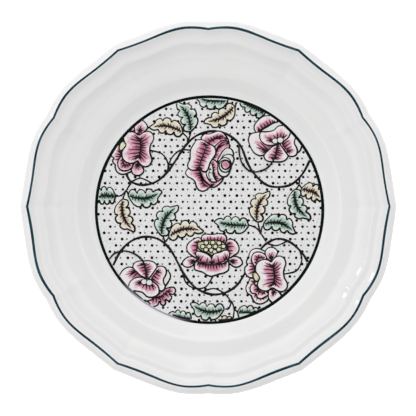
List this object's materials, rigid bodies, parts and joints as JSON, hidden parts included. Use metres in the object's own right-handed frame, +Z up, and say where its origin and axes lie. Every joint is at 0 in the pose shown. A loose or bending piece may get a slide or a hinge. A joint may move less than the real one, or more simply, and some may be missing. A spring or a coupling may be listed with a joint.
{
  "type": "dinner plate",
  "caption": "Round glazed dinner plate with a lobed moulded rim, a painted rim line and a flower-and-dot print inside a printed ring in the well.",
  "frame": {"origin": "centre of the foot ring, in the plane that it stands on", "axes": "+Z up out of the well; +Y towards the edge that is the top of the printed pattern"},
  "size_m": [0.275, 0.2734, 0.0223],
  "materials": {
    "clay": "unglazed fired white earthenware, matt",
    "glaze": "glossy clear-white glaze",
    "rim_colour": "teal painted line under a clear glaze",
    "ring_ink": "green-black print, glossy",
    "key_ink": "violet-black print, glossy",
    "rose_enamel": "rose enamel fading to white, glossy",
    "green_enamel": "pale green enamel, glossy",
    "yellow_enamel": "cream-yellow enamel, glossy",
    "centre_enamel": "yellow-green enamel, glossy",
    "grey_ink": "grey print, glossy"
  },
  "bodies": {
    "root": {"plate_body": "clay", "glaze_coat": "glaze", "rim_line": "rim_colour", "well_line": "ring_ink", "stem_print": "key_ink", "outline_print": "key_ink", "rose_petals": "rose_enamel", "green_leaves": "green_enamel", "yellow_leaves": "yellow_enamel", "flower_centres": "centre_enamel", "large_dots": "key_ink", "small_dots": "grey_ink"}
  },
  "joints": []
}
